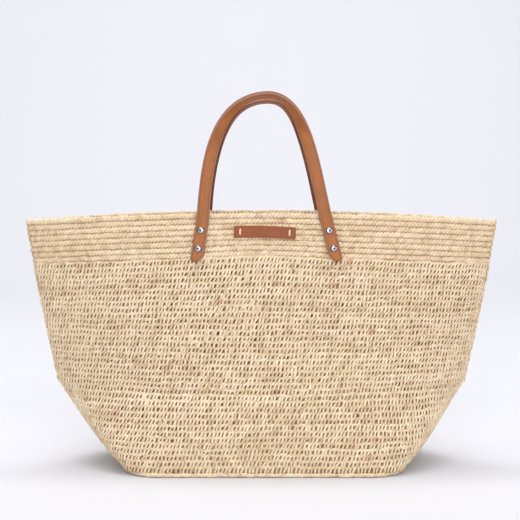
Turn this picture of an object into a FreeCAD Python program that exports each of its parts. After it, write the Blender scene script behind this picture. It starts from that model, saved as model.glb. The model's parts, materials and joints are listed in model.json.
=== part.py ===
import FreeCAD, Part
import math
import os
import Sketcher

# Woven market basket: a crocheted raffia tote with a flat rounded base, leaning walls, a mouth pinched
# flat at both ends and two riveted leather strap handles that fold down at the rim.
# Frame: millimetres, +Z up, +X along the mouth, front towards -Y. The origin is the centre of the
# footprint, on the surface that the basket stands on.

Vector = FreeCAD.Vector
OUT_DIR = "parts"

SIZES = [
    ("rim_height", 322.0, "top of the rim at mid width"),
    ("rim_droop", 12.0, "how much lower the rim is at its pinched ends"),
    ("rim_half_width", 300.0, "half width at the rim's ends"),
    ("rim_half_depth", 38.0, "half of the mouth's depth"),
    ("fold_height", 107.0, "where the end gusset closes into a side fold"),
    ("fold_half_width", 261.3, "half width at the top of the gusset"),
    ("gusset_bulge", 7.6, "how far the gusset bows out of its straight line"),
    ("side_bulge", 1.7, "the same for the side fold above it"),
    ("base_half_width", 177.0, "half width of the base"),
    ("base_half_depth", 100.0, "half depth of the base"),
    ("base_corner", 48.0, "corner radius of the base"),
    ("base_thickness", 5.0, "crochet thickness of the base"),
    ("edge_height", 7.0, "height of the raised turning round"),
    ("edge_inset", 8.0, "from the wall's outline in to the turning round's inner side"),
    ("edge_proud", 2.0, "how far the turning round stands out of the wall"),
    ("edge_round", 3.0, "rounding of the turning round"),
    ("wall_belly", 3.0, "how far the front and back bow out at mid height"),
    ("wall_thickness", 5.0, "crochet thickness of front and back"),
    ("end_thickness", 9.0, "crochet thickness along X at the folded ends"),
    ("band_height", 56.0, "height of the dense rim band"),
    ("strap_width", 16.0, "width of the leather strap"),
    ("strap_thickness", 4.8, "two glued layers of leather"),
    ("strap_gap", 0.4, "strap end to wall"),
    ("strap_end_length", 50.0, "strap below the fold line"),
    ("tip_width", 10.0, "flat end of the strap, beside its cut corner"),
    ("tip_cut", 9.0, "height of the cut corner"),
    ("fold_line", 310.0, "height of the line where a handle folds"),
    ("fold_play", 0.2, "half of the slit at the fold line"),
    ("fold_offset", 0.6, "bow's plane in front of the strap ends' planes"),
    ("left_span", 73.5, "left leg's centre at the fold line"),
    ("right_span", 81.4, "right leg's centre at the fold line"),
    ("left_tilt", 8.5, "left strap ends' lean towards the middle, degrees"),
    ("right_tilt", 14.0, "right strap ends' lean towards the middle, degrees"),
    ("left_lean", 5.5, "left leg's lean just above the fold line, degrees"),
    ("right_lean", 13.0, "right leg's lean just above the fold line, degrees"),
    ("crown_rise", 160.0, "crown's centre line above the fold line"),
    ("crown_shift", 9.2, "crown's place along X"),
    ("bow_lean", 9.0, "bow's lean towards the mouth, degrees"),
    ("back_drop", 7.0, "how much lower the back handle is riveted"),
    ("rivet_top", 10.6, "upper rivet below the fold line"),
    ("rivet_pitch", 23.0, "between the two rivets of a strap end"),
    ("cap_radius", 4.5, "rivet cap"),
    ("cap_height", 2.4, "rivet cap"),
    ("cap_round", 1.9, "rounding of the rivet cap"),
    ("post_radius", 1.5, "rivet post"),
    ("post_hole", 1.6, "holes for the post"),
    ("inner_cap_radius", 4.2, "rivet cap on the inside"),
    ("inner_cap_height", 2.2, "rivet cap on the inside"),
    ("inner_cap_round", 1.2, "rounding of the inside cap"),
    ("inner_cap_recess", 1.4, "depth of the recess that takes the post"),
    ("backing_width", 18.0, "leather patch behind a strap end"),
    ("backing_height", 42.0, "leather patch behind a strap end"),
    ("backing_thickness", 2.0, "leather patch behind a strap end"),
    ("backing_gap", 0.5, "patch to wall"),
    ("label_length", 77.0, "leather label"),
    ("label_width", 15.0, "leather label"),
    ("label_thickness", 1.6, "leather label"),
    ("label_gap", 0.3, "label to wall"),
    ("label_corner", 1.2, "corner radius of the label"),
    ("label_height", 298.0, "label's centre above the floor"),
    ("label_shift", 4.2, "label's centre along X"),
    ("label_tilt", 1.5, "label's clockwise tilt, degrees"),
    ("thread_size", 1.4, "thread section"),
    ("thread_pitch", 6.0, "between the two legs of a thread loop"),
    ("thread_place", 30.7, "thread loops from the label's centre"),
    ("thread_hole", 1.2, "radius of the holes for the thread"),
    ("thread_depth", 5.7, "inner bar of a thread loop behind the wall's face"),
]

MOUTH_POWERS = (2.0, 1.35)
BASE_POWERS = (8.0, 5.0)
SECTION_HEIGHTS = (7.0, 20.0, 40.0, 65.0, 90.0, 107.0, 130.0, 170.0, 215.0, 262.0, 330.0)
SECTION_POINTS = 24
LEG_STATIONS = 9
LEG_REACH = {"left": 41.6, "right": 68.2}
CROWN_REACH = {"left": 77.9, "right": 45.0}
TWIST_START = 0.3
TWIST_END = 0.95
DRILL_LENGTH = 24.0

doc = FreeCAD.newDocument("MarketBasket")
sheet = doc.addObject("Spreadsheet::Sheet", "Sizes")
for row, (alias, value, note) in enumerate(SIZES, start=1):
    sheet.set(f"A{row}", alias)
    sheet.set(f"B{row}", str(value))
    sheet.setAlias(f"B{row}", alias)
    sheet.set(f"C{row}", note)
doc.recompute()

nodes = []


def size(alias):
    return float(sheet.get(alias))


def sized(alias, factor=1.0):
    """A coordinate as (number, expression): factor times one cell."""
    return factor * size(alias), f"{factor} * Sizes.{alias}"


def plus(*coordinates):
    """The sum of several coordinates."""
    number = sum(value for value, expression in coordinates)
    return number, " + ".join(expression for value, expression in coordinates)


ZERO = (0.0, "0")


# ---- the basket's surface ------------------------------------------------------------------------


def half_width(z):
    """Half width of the basket at height z: the flaring gusset, then the side fold."""
    share = (z - size("edge_height")) / (size("fold_height") - size("edge_height"))
    if share < 1.0:
        straight = size("base_half_width") * (1 - share) + size("fold_half_width") * share
        return straight + size("gusset_bulge") * 4 * share * (1 - share)
    rim_end = size("rim_height") - size("rim_droop")
    share = (z - size("fold_height")) / (rim_end - size("fold_height"))
    straight = size("fold_half_width") * (1 - share) + size("rim_half_width") * share
    return straight + size("side_bulge") * 4 * share * (1 - share)


def half_depth(z):
    """Half depth of the basket at height z: the leaning front and back with a slight belly."""
    share = z / size("rim_height")
    straight = size("base_half_depth") * (1 - share) + size("rim_half_depth") * share
    return straight + size("wall_belly") * 4 * share * (1 - share)


def powers(z):
    """Exponents of the outline: a rounded rectangle at the base, a pointed lens above the fold."""
    share = min(1.0, max(0.0, (z - size("edge_height")) / (size("fold_height") - size("edge_height"))))
    ease = (1 - share) ** 2
    return [mouth + (base - mouth) * ease for mouth, base in zip(MOUTH_POWERS, BASE_POWERS)]


def outline_wire(z, end_inset, wall_inset):
    """The basket's outline at height z, inset at the ends and on the faces, as two splines."""
    power_x, power_y = powers(z)
    a = half_width(z) - end_inset
    b = half_depth(z) - wall_inset
    edges = []
    for side in (-1, 1):
        points = []
        for i in range(SECTION_POINTS + 1):
            angle = math.pi * i / SECTION_POINTS
            cosine = math.cos(angle)
            x = a * math.copysign(abs(cosine) ** (2 / power_x), cosine)
            y = side * b * abs(math.sin(angle)) ** (2 / power_y)
            points.append(Vector(-side * x, y if 0 < i < SECTION_POINTS else 0.0, z))
        curve = Part.BSplineCurve()
        curve.interpolate(points)
        edges.append(curve.toShape())
    return Part.Wire(edges)


def lofted_basket(name, end_inset, wall_inset):
    """A solid that fills the basket's outline from the turning round to above the rim."""
    wires = [outline_wire(z, end_inset, wall_inset) for z in SECTION_HEIGHTS]
    feature = doc.addObject("Part::Feature", name)
    feature.Shape = Part.makeLoft(wires, True, True)
    return feature


def front_point(x, z):
    """The point of the front wall's outer face at x and z."""
    power_x, power_y = powers(z)
    share = 1 - abs(x / half_width(z)) ** power_x
    return Vector(x, -half_depth(z) * share ** (1 / power_y), z)


def wall_frame(x, z, tilt):
    """Placement on the front wall: local Y runs into the wall, local Z up it, turned by tilt."""
    step = 0.5
    across = front_point(x + step, z) - front_point(x - step, z)
    up = front_point(x, z + step) - front_point(x, z - step)
    inward = up.cross(across).normalize()
    up.normalize()
    across = inward.cross(up)
    matrix = FreeCAD.Matrix(
        across.x, inward.x, up.x, 0,
        across.y, inward.y, up.y, 0,
        across.z, inward.z, up.z, 0,
        0, 0, 0, 1,
    )
    rotation = FreeCAD.Placement(matrix).Rotation
    turned = rotation.multiply(FreeCAD.Rotation(Vector(0, 1, 0), tilt))
    return FreeCAD.Placement(front_point(x, z), turned)


def back_shift():
    """How far the back handle sits down the leaning back wall from the front handle's place."""
    drop = size("back_drop")
    middle = size("fold_line") - size("strap_end_length") / 2
    return Vector(0, half_depth(middle - drop) - half_depth(middle), -drop)


def to_back(placement):
    """A placement turned half round to the back wall, and lower by the back handle's drop."""
    half_turn = FreeCAD.Placement(back_shift(), FreeCAD.Rotation(Vector(0, 0, 1), 180))
    return half_turn.multiply(placement)


# ---- sketch and body helpers ---------------------------------------------------------------------


def new_body(name):
    body = doc.addObject("PartDesign::Body", name)
    body.Label = name
    return body


def new_sketch(body, role, offset=ZERO):
    """A sketch on one of the body's own origin planes, moved along its normal."""
    plane = next(f for f in body.Origin.OriginFeatures if f.Role == role)
    sketch = body.newObject("Sketcher::SketchObject", body.Name + "_outline")
    sketch.AttachmentSupport = [(plane, "")]
    sketch.MapMode = "FlatFace"
    sketch.AttachmentOffset = FreeCAD.Placement(Vector(0, 0, offset[0]), FreeCAD.Rotation())
    sketch.setExpression("AttachmentOffset.Base.z", offset[1])
    return sketch


def hold(sketch, geometry, point, x, y):
    """Dimensions one point of the sketch from the origin and binds both to the sheet."""
    for kind, (value, expression) in (("DistanceX", x), ("DistanceY", y)):
        index = sketch.addConstraint(Sketcher.Constraint(kind, -1, 1, geometry, point, value))
        sketch.setExpression(f"Constraints[{index}]", expression)


def polygon(sketch, corners):
    """A closed outline of straight lines through corners, every corner dimensioned."""
    first = sketch.GeometryCount
    count = len(corners)
    for i, (x, y) in enumerate(corners):
        next_x, next_y = corners[(i + 1) % count]
        start = Vector(x[0], y[0], 0)
        end = Vector(next_x[0], next_y[0], 0)
        sketch.addGeometry(Part.LineSegment(start, end), False)
    for i in range(count):
        following = first + (i + 1) % count
        sketch.addConstraint(Sketcher.Constraint("Coincident", first + i, 2, following, 1))
    for i, (x, y) in enumerate(corners):
        hold(sketch, first + i, 1, x, y)


def circle(sketch, x, y, radius):
    """A dimensioned circle."""
    index = sketch.addGeometry(Part.Circle(Vector(x[0], y[0], 0), Vector(0, 0, 1), radius[0]), False)
    hold(sketch, index, 3, x, y)
    constraint = sketch.addConstraint(Sketcher.Constraint("Radius", index, radius[0]))
    sketch.setExpression(f"Constraints[{constraint}]", radius[1])


def rounded_rectangle(sketch, half_x, half_y, radius):
    """A rectangle round the origin with four equal corner arcs, dimensioned."""
    first = sketch.GeometryCount
    quarter = math.pi / 2
    inner_x = half_x[0] - radius[0]
    inner_y = half_y[0] - radius[0]
    centres = [(inner_x, inner_y), (-inner_x, inner_y), (-inner_x, -inner_y), (inner_x, -inner_y)]
    for i, (x, y) in enumerate(centres):
        whole = Part.Circle(Vector(x, y, 0), Vector(0, 0, 1), radius[0])
        sketch.addGeometry(Part.ArcOfCircle(whole, i * quarter, (i + 1) * quarter), False)
    for i, (x, y) in enumerate(centres):
        after = centres[(i + 1) % 4]
        turn = Vector(math.cos((i + 1) * quarter), math.sin((i + 1) * quarter), 0) * radius[0]
        sketch.addGeometry(
            Part.LineSegment(Vector(x, y, 0) + turn, Vector(after[0], after[1], 0) + turn), False
        )
    for i in range(4):
        line = first + 4 + i
        sketch.addConstraint(Sketcher.Constraint("Tangent", first + i, 2, line, 1))
        sketch.addConstraint(Sketcher.Constraint("Tangent", line, 2, first + (i + 1) % 4, 1))
        if i:
            sketch.addConstraint(Sketcher.Constraint("Equal", first, first + i))
    sketch.addConstraint(Sketcher.Constraint("Horizontal", first + 4))
    sketch.addConstraint(Sketcher.Constraint("Vertical", first + 5))
    centre_x = plus(half_x, (-radius[0], f"-1 * ({radius[1]})"))
    centre_y = plus(half_y, (-radius[0], f"-1 * ({radius[1]})"))
    hold(sketch, first, 3, centre_x, centre_y)
    constraint = sketch.addConstraint(Sketcher.Constraint("Radius", first, radius[0]))
    sketch.setExpression(f"Constraints[{constraint}]", radius[1])
    hold(
        sketch, first + 2, 3,
        (-centre_x[0], f"-1 * ({centre_x[1]})"),
        (-centre_y[0], f"-1 * ({centre_y[1]})"),
    )


def pad(body, sketch, length_alias, centred=False):
    """A pad whose length is a cell of the sheet, made along the sketch's normal."""
    feature = body.newObject("PartDesign::Pad", body.Name + "_pad")
    feature.Profile = sketch
    feature.Midplane = centred
    feature.Length = size(length_alias)
    feature.setExpression("Length", f"Sizes.{length_alias}")
    doc.recompute()
    return feature


def revolve(body, sketch):
    """A full turn of the sketch about its own vertical axis."""
    feature = body.newObject("PartDesign::Revolution", body.Name + "_turned")
    feature.Profile = sketch
    feature.ReferenceAxis = (sketch, ["V_Axis"])
    feature.Angle = 360.0
    doc.recompute()
    return feature


def fillet(body, base, radius_alias, wanted):
    """Rounds the edges of base that wanted picks."""
    picked = [f"Edge{i}" for i, edge in enumerate(base.Shape.Edges, start=1) if wanted(edge)]
    feature = body.newObject("PartDesign::Fillet", body.Name + "_fillet")
    feature.Base = (base, picked)
    feature.Radius = size(radius_alias)
    feature.setExpression("Radius", f"Sizes.{radius_alias}")
    doc.recompute()


def keep(feature, name):
    """Marks a document object as a sub-part of its own."""
    feature.Label = name
    nodes.append(feature)


def boolean(kind, name, base, tool):
    feature = doc.addObject(kind, name)
    feature.Base = base
    feature.Tool = tool
    return feature


# ---- raffia --------------------------------------------------------------------------------------


def make_base():
    """The flat crocheted base inside the turning round."""
    body = new_body("raffia_base")
    sketch = new_sketch(body, "XY_Plane")
    inset = sized("edge_inset", -1)
    rounded_rectangle(
        sketch,
        plus(sized("base_half_width"), inset),
        plus(sized("base_half_depth"), inset),
        plus(sized("base_corner"), inset),
    )
    pad(body, sketch, "base_thickness")
    keep(body, "raffia_base")


def make_edge_round():
    """The raised round of stitches where the base turns up into the wall."""
    body = new_body("base_edge_round")
    sketch = new_sketch(body, "XY_Plane")
    for offset in (sized("edge_proud"), sized("edge_inset", -1)):
        rounded_rectangle(
            sketch,
            plus(sized("base_half_width"), offset),
            plus(sized("base_half_depth"), offset),
            plus(sized("base_corner"), offset),
        )
    ring = pad(body, sketch, "edge_height")
    inner_x = size("base_half_width") - size("edge_inset")
    inner_y = size("base_half_depth") - size("edge_inset")

    def on_outer_loop(edge):
        box = edge.BoundBox
        flat = box.ZMax - box.ZMin < 0.01
        wide = max(abs(box.XMin), abs(box.XMax)) > inner_x + 1
        deep = max(abs(box.YMin), abs(box.YMax)) > inner_y + 1
        return flat and (wide or deep)

    fillet(body, ring, "edge_round", on_outer_loop)
    keep(body, "base_edge_round")


def droop_cylinder(name, top_expression):
    """A long cylinder along Y whose top is the drooping line of the rim or of a round below it."""
    cylinder = doc.addObject("Part::Cylinder", name)
    radius = "(Sizes.rim_half_width ^ 2 + Sizes.rim_droop ^ 2) / (2 * Sizes.rim_droop)"
    cylinder.setExpression("Radius", radius)
    cylinder.setExpression("Height", "4 * Sizes.base_half_depth")
    cylinder.Placement = FreeCAD.Placement(Vector(0, 0, 0), FreeCAD.Rotation(Vector(1, 0, 0), 90))
    cylinder.setExpression("Placement.Base.y", "2 * Sizes.base_half_depth")
    cylinder.setExpression("Placement.Base.z", f"{top_expression} - {radius}")
    return cylinder


def make_walls(drills):
    """The open crochet wall and the dense rim band, each one ring of rounds."""
    outer = lofted_basket("outer_form", 0.0, 0.0)
    inner = lofted_basket("inner_form", size("end_thickness"), size("wall_thickness"))
    shell = boolean("Part::Cut", "shell", outer, inner)
    rim_line = droop_cylinder("rim_line", "Sizes.rim_height")
    band_line = droop_cylinder("band_line", "Sizes.rim_height - Sizes.band_height")
    wall = boolean("Part::Common", "raffia_body", shell, band_line)
    keep(wall, "raffia_body")
    below_rim = boolean("Part::Common", "below_rim", shell, rim_line)
    blank = boolean("Part::Cut", "band_blank", below_rim, band_line)
    holes = doc.addObject("Part::MultiFuse", "fastener_holes")
    holes.Shapes = drills
    keep(boolean("Part::Cut", "rim_band", blank, holes), "rim_band")


def drill(name, placement, radius_alias, across, up):
    """A drill along local Y at a place of a wall frame."""
    tool = doc.addObject("Part::Cylinder", name)
    tool.setExpression("Radius", f"Sizes.{radius_alias}")
    tool.Height = DRILL_LENGTH
    lay_down = FreeCAD.Rotation(Vector(1, 0, 0), -90)
    local = FreeCAD.Placement(Vector(across, -DRILL_LENGTH / 2, up), lay_down)
    tool.Placement = placement.multiply(local)
    return tool


# ---- leather straps ------------------------------------------------------------------------------


def build_sign(side, face):
    """The side of X on which a leg is built. The back handle is turned half round after it is built,
    so its legs are built on each other's side."""
    sign = -1 if side == "left" else 1
    return sign if face == "front" else -sign


def strap_frame(side, sign):
    """Wall frame at the middle of a front strap end; its local Z runs up the strap."""
    tilt = size(side + "_tilt")
    drop = size("strap_end_length") / 2
    x = sign * (size(side + "_span") + drop * math.tan(math.radians(tilt)))
    return wall_frame(x, size("fold_line") - drop, -sign * tilt)


def make_strap_end(name, side, sign, placement):
    """The riveted end of a strap: a flat bar with one cut corner, its top cut along the fold line."""
    body = new_body(name)
    sketch = new_sketch(body, "XZ_Plane", sized("strap_gap"))
    half = sized("strap_width", 0.5)
    rise = math.tan(math.radians(size(side + "_tilt")))
    slope = (-sign * rise * half[0], f"{-sign} * tan(Sizes.{side}_tilt * 1deg) * {half[1]}")
    opposite = (-slope[0], f"-1 * ({slope[1]})")
    top = plus(sized("strap_end_length", 0.5), sized("fold_play", -1))
    bottom = sized("strap_end_length", -0.5)
    outer_x = sized("strap_width", 0.5 * sign)
    inner_x = sized("strap_width", -0.5 * sign)
    corners = [
        (outer_x, bottom),
        (outer_x, plus(top, slope if sign > 0 else opposite)),
        (inner_x, plus(top, opposite if sign > 0 else slope)),
        (inner_x, plus(bottom, sized("tip_cut"))),
        (plus(outer_x, sized("tip_width", -sign)), bottom),
    ]
    polygon(sketch, corners if sign < 0 else corners[::-1])
    for place in rivet_places():
        circle(sketch, ZERO, place, sized("post_hole"))
    pad(body, sketch, "strap_thickness")
    body.Placement = placement
    keep(body, name)


def rivet_places():
    """Heights of the two rivets in a strap end's frame."""
    upper = plus(sized("strap_end_length", 0.5), sized("rivet_top", -1))
    return [upper, plus(upper, sized("rivet_pitch", -1))]


def make_backing(name, placement):
    """The leather patch that spreads the rivets' pull, on the inside of the band."""
    body = new_body(name)
    depth = plus(
        sized("wall_thickness", -1), sized("backing_gap", -1), sized("backing_thickness", -1)
    )
    sketch = new_sketch(body, "XZ_Plane", depth)
    places = rivet_places()
    middle = (places[0][0] + places[1][0]) / 2, f"({places[0][1]} + {places[1][1]}) / 2"
    low = plus(middle, sized("backing_height", -0.5))
    high = plus(middle, sized("backing_height", 0.5))
    left, right = sized("backing_width", -0.5), sized("backing_width", 0.5)
    polygon(sketch, [(left, low), (right, low), (right, high), (left, high)])
    for place in places:
        circle(sketch, ZERO, place, sized("post_hole"))
    pad(body, sketch, "backing_thickness")
    body.Placement = placement
    keep(body, name)


def at_height(placement, place):
    """The wall frame moved up the strap to a rivet."""
    return placement.multiply(FreeCAD.Placement(Vector(0, 0, place[0]), FreeCAD.Rotation()))


def make_rivet(name, placement):
    """Domed rivet cap with its post, turned about the post's axis."""
    body = new_body(name)
    sketch = new_sketch(body, "XY_Plane")
    face = plus(sized("strap_gap", -1), sized("strap_thickness", -1))
    top = plus(face, sized("cap_height", -1))
    inside = plus(sized("wall_thickness"), sized("backing_gap"), sized("backing_thickness"))
    end = plus(inside, sized("inner_cap_recess"), sized("strap_gap", -0.25))
    cap, post = sized("cap_radius"), sized("post_radius")
    polygon(sketch, [(ZERO, top), (cap, top), (cap, face), (post, face), (post, end), (ZERO, end)])
    turned = revolve(body, sketch)
    fillet(body, turned, "cap_round", lambda edge: abs(edge.BoundBox.YMax - top[0]) < 0.01)
    body.Placement = placement
    keep(body, name)


def make_inner_cap(name, placement):
    """Low cap on the inside, with the recess that holds the end of the post."""
    body = new_body(name)
    sketch = new_sketch(body, "XY_Plane")
    face = plus(sized("wall_thickness"), sized("backing_gap"), sized("backing_thickness"))
    top = plus(face, sized("inner_cap_height"))
    floor = plus(face, sized("inner_cap_recess"))
    cap, hole = sized("inner_cap_radius"), sized("post_hole")
    polygon(sketch, [(hole, face), (cap, face), (cap, top), (ZERO, top), (ZERO, floor), (hole, floor)])
    turned = revolve(body, sketch)
    fillet(body, turned, "inner_cap_round", lambda edge: abs(edge.BoundBox.YMin - top[0]) < 0.01)
    body.Placement = placement
    keep(body, name)


def fold_axis_y():
    """Y of the front fold line's axis, which lies in the strap's outer face."""
    depths = []
    for side in ("left", "right"):
        local = Vector(0, -size("strap_gap") - size("strap_thickness"), size("strap_end_length") / 2)
        depths.append(strap_frame(side, build_sign(side, "front")).multVec(local).y)
    return min(depths) - size("fold_offset")


def leg_point(side, face, share):
    """Centre line of a bow's leg in the bow's own plane, as (x, rise), and its direction."""
    sign = build_sign(side, face)
    lean = math.radians(size(side + "_lean"))
    crown = size("crown_rise")
    middle = size("crown_shift") if face == "front" else -size("crown_shift")
    knots_x = [
        sign * size(side + "_span"),
        sign * (size(side + "_span") - LEG_REACH[side] * math.sin(lean)),
        middle + sign * CROWN_REACH[side],
        middle,
    ]
    knots_z = [0.0, LEG_REACH[side] * math.cos(lean), crown, crown]
    rest = 1 - share
    weights = [rest**3, 3 * share * rest**2, 3 * share**2 * rest, share**3]
    slopes = [
        -3 * rest**2,
        3 * rest**2 - 6 * share * rest,
        6 * share * rest - 3 * share**2,
        3 * share**2,
    ]
    point = [sum(w * k for w, k in zip(weights, row)) for row in (knots_x, knots_z)]
    direction = [sum(w * k for w, k in zip(slopes, row)) for row in (knots_x, knots_z)]
    return point, direction


def bow_section(side, face, share):
    """The strap's rectangular section at a station of a leg, twisted towards the crown."""
    (x, rise), (run_x, run_z) = leg_point(side, face, share)
    length = math.hypot(run_x, run_z)
    outward = (-run_z / length, run_x / length)
    if build_sign(side, face) > 0:
        outward = (-outward[0], -outward[1])
    half_w = size("strap_width") / 2
    if share == 0.0:
        outward = (math.copysign(1.0, outward[0]), 0.0)
        half_w /= math.cos(math.radians(size(side + "_tilt")))
        rise += size("fold_play")
    half_t = size("strap_thickness") / 2
    turn = min(1.0, max(0.0, (share - TWIST_START) / (TWIST_END - TWIST_START)))
    twist = math.pi / 2 * turn * turn * (3 - 2 * turn)
    corners = []
    for across, through in ((-1, -1), (1, -1), (1, 1), (-1, 1)):
        in_plane = across * half_w * math.cos(twist) - through * half_t * math.sin(twist)
        forward = across * half_w * math.sin(twist) + through * half_t * math.cos(twist)
        corners.append(in_bow_plane(x + in_plane * outward[0], rise + in_plane * outward[1], forward))
    return Part.makePolygon(corners + corners[:1])


def in_bow_plane(x, rise, forward):
    """A point of the leaning bow: rise above the fold line, forward out of the bow's plane."""
    lean = math.radians(size("bow_lean"))
    mid_y = fold_axis_y() + size("strap_thickness") / 2
    y = mid_y + rise * math.tan(lean) - forward * math.cos(lean)
    z = size("fold_line") + rise + forward * math.sin(lean)
    return Vector(x, y, z)


def make_bow(name, face, placement):
    """The arched strap above the fold line, face-on in its legs and edge-on at its crown."""
    stations = [("left", i / LEG_STATIONS) for i in range(LEG_STATIONS + 1)]
    stations += [("right", i / LEG_STATIONS) for i in range(LEG_STATIONS - 1, -1, -1)]
    sections = [bow_section(side, face, share) for side, share in stations]
    feature = doc.addObject("Part::Feature", name)
    feature.Shape = Part.makeLoft(sections, True, False)
    feature.Placement = placement
    keep(feature, name)


# ---- label ---------------------------------------------------------------------------------------


def make_label(placement):
    """The blank leather label with its four thread holes."""
    body = new_body("label_patch")
    sketch = new_sketch(body, "XZ_Plane", sized("label_gap"))
    half_x, half_z = sized("label_length", 0.5), sized("label_width", 0.5)
    minus_x, minus_z = sized("label_length", -0.5), sized("label_width", -0.5)
    polygon(sketch, [(minus_x, minus_z), (half_x, minus_z), (half_x, half_z), (minus_x, half_z)])
    for side in (-1, 1):
        for up in (-0.5, 0.5):
            circle(sketch, sized("thread_place", side), sized("thread_pitch", up), sized("thread_hole"))
    plate = pad(body, sketch, "label_thickness")

    def is_corner(edge):
        at_corner = abs(abs(edge.CenterOfMass.x) - size("label_length") / 2) < 0.01
        return at_corner and abs(edge.Length - size("label_thickness")) < 0.01

    fillet(body, plate, "label_corner", is_corner)
    body.Placement = placement
    keep(body, "label_patch")


def make_thread(name, side, placement):
    """A closed loop of thread through the label and the band."""
    body = new_body(name)
    offset = sized("thread_place", side)
    sketch = new_sketch(body, "YZ_Plane", offset)
    front = plus(sized("label_gap", -1), sized("label_thickness", -1))
    back = sized("thread_depth")
    for extra in (0.0, 1.0):
        low_y = plus(front, sized("thread_size", -extra))
        high_y = plus(back, sized("thread_size", extra))
        half = plus(sized("thread_pitch", 0.5), sized("thread_size", extra - 0.5))
        minus = (-half[0], f"-1 * ({half[1]})")
        polygon(sketch, [(low_y, minus), (high_y, minus), (high_y, half), (low_y, half)])
    pad(body, sketch, "thread_size", centred=True)
    body.Placement = placement
    keep(body, name)


# ---- assembly ------------------------------------------------------------------------------------


def make_handles():
    """Both handles with their rivets and backing patches; returns the drills for the band."""
    drills = []
    for face in ("front", "back"):
        for side in ("left", "right"):
            name = f"{face}_{side}"
            sign = build_sign(side, face)
            frame = strap_frame(side, sign)
            if face == "back":
                frame = to_back(frame)
            make_strap_end(f"{name}_strap_end", side, sign, frame)
            make_backing(f"{name}_backing", frame)
            for level, place in zip(("upper", "lower"), rivet_places()):
                make_rivet(f"{name}_{level}_rivet", at_height(frame, place))
                make_inner_cap(f"{name}_{level}_inner_cap", at_height(frame, place))
                drills.append(drill(f"{name}_{level}_drill", frame, "post_hole", 0.0, place[0]))
    make_bow("front_strap_bow", "front", FreeCAD.Placement())
    make_bow("back_strap_bow", "back", to_back(FreeCAD.Placement()))
    return drills


def make_label_set():
    """The label with its two thread loops; returns the drills for the band."""
    frame = wall_frame(size("label_shift"), size("label_height"), size("label_tilt"))
    make_label(frame)
    drills = []
    for name, side in (("label_stitch_left", -1), ("label_stitch_right", 1)):
        make_thread(name, side, frame)
        for up in (-0.5, 0.5):
            place = up * size("thread_pitch")
            tool = drill(f"{name}_{up}", frame, "thread_hole", side * size("thread_place"), place)
            drills.append(tool)
    return drills


def check_document():
    """Stops if any object failed or any sub-part isn't one valid solid."""
    for item in doc.Objects:
        if "Invalid" in item.State or "Error" in item.State:
            raise RuntimeError(f"{item.Label} failed: {item.State}")
    for item in nodes:
        shape = item.Shape
        if shape.isNull() or not shape.isValid() or len(shape.Solids) != 1:
            raise RuntimeError(f"{item.Label} is not one valid solid")


make_base()
make_edge_round()
make_walls(make_handles() + make_label_set())
doc.recompute()
check_document()

os.makedirs(OUT_DIR, exist_ok=True)
for item in nodes:
    item.Shape.exportStep(os.path.join(OUT_DIR, item.Label + ".step"))
    print(f"{item.Label:32s} {item.Shape.Volume / 1000:9.3f} cm3")
shift = back_shift()
print(f"front fold axis y {fold_axis_y():.3f} z {size('fold_line'):.3f}")
print(f"back fold axis y {shift.y - fold_axis_y():.3f} z {size('fold_line') + shift.z:.3f}")
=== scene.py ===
import json
import math

import bpy
import numpy as np
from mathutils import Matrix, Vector


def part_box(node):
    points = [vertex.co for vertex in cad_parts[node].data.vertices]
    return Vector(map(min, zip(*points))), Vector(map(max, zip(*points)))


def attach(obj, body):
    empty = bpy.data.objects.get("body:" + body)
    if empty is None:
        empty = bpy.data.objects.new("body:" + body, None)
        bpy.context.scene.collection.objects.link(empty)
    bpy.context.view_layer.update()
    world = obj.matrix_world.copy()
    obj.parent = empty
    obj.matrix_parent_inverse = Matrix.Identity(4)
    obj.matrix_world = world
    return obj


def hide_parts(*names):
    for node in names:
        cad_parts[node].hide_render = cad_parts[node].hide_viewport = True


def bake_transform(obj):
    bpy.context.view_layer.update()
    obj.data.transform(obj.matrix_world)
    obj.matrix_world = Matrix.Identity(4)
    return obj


# Woven market basket: its looks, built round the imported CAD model. Lengths are in metres.

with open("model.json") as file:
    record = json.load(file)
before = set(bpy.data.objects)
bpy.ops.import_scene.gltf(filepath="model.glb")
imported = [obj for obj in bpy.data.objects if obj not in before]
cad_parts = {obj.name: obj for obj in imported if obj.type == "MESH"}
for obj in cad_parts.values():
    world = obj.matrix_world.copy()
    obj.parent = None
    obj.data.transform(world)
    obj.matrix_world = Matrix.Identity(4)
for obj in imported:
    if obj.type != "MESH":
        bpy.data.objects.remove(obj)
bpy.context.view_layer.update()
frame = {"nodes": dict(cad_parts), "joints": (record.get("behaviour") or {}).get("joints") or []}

# ---- sizes taken from the frame, and the shape of the wall ----

RIM_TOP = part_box("rim_band")[1].z
RIM_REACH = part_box("rim_band")[1].x
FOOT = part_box("raffia_body")[0].z
BASE_HALF_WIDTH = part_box("raffia_base")[1].x
BASE_HALF_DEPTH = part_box("raffia_base")[1].y
BASE_CORNER = 0.040
RIM_DROOP = 0.012
BAND_HEIGHT = 0.056
RIM_END = RIM_TOP - RIM_DROOP
FLARE_HEIGHT = 0.107
FOOT_HALF_WIDTH = 0.177
FLARE_HALF_WIDTH = 0.2613
FLARE_BULGE = 0.0076
SIDE_BULGE = 0.0017
FOOT_HALF_DEPTH = 0.100
RIM_HALF_DEPTH = 0.038
BELLY = 0.003
MOUTH_POWERS = (2.0, 1.35)
BASE_POWERS = (9.0, 6.0)
# The soft foot leans towards +X by BASE_SHIFT, which fades out at SHIFT_HEIGHT.
BASE_SHIFT = 0.0040
SHIFT_HEIGHT = 0.090
END_FULLNESS = 0.0016
# In the middle of the wall the rounds arch up by ARCH_RISE, mostly at ARCH_HEIGHT.
ARCH_RISE = 0.0032
ARCH_REACH = 0.065
ARCH_HEIGHT = 0.262
ARCH_SPREAD = 0.034

# ---- crochet ----

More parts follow.
